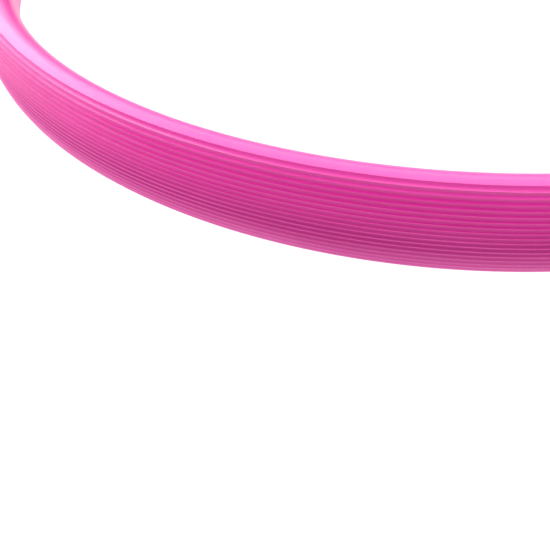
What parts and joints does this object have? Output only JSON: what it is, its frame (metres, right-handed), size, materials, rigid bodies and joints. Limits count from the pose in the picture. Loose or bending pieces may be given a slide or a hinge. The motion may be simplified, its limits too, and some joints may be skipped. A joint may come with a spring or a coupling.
{
  "type": "rhythmic gymnastics hoop",
  "caption": "Rigid ring of hollow oval plastic band with fine lengthwise grip ribs on its outer face, its ends joined over an inner plug by blind rivets.",
  "frame": {"origin": "centre of the ring, at mid-height of the band", "axes": "+Z along the hoop's axis, square to the plane of the ring; +Y towards the joint of the band; +X completes the frame"},
  "size_m": [0.6, 0.6, 0.044],
  "materials": {
    "band_plastic": "glossy pink polyethylene with fine extruded ribs",
    "plug_plastic": "plain moulded, off-white",
    "rivet_metal": "bare, lightly tumbled",
    "mandrel_steel": "plated, snapped end"
  },
  "bodies": {
    "root": {"band": "band_plastic", "joint_plug": "plug_plastic", "rivet_1": "rivet_metal", "rivet_2": "rivet_metal", "rivet_3": "rivet_metal", "rivet_4": "rivet_metal", "mandrel_1": "mandrel_steel", "mandrel_2": "mandrel_steel", "mandrel_3": "mandrel_steel", "mandrel_4": "mandrel_steel"}
  },
  "joints": []
}
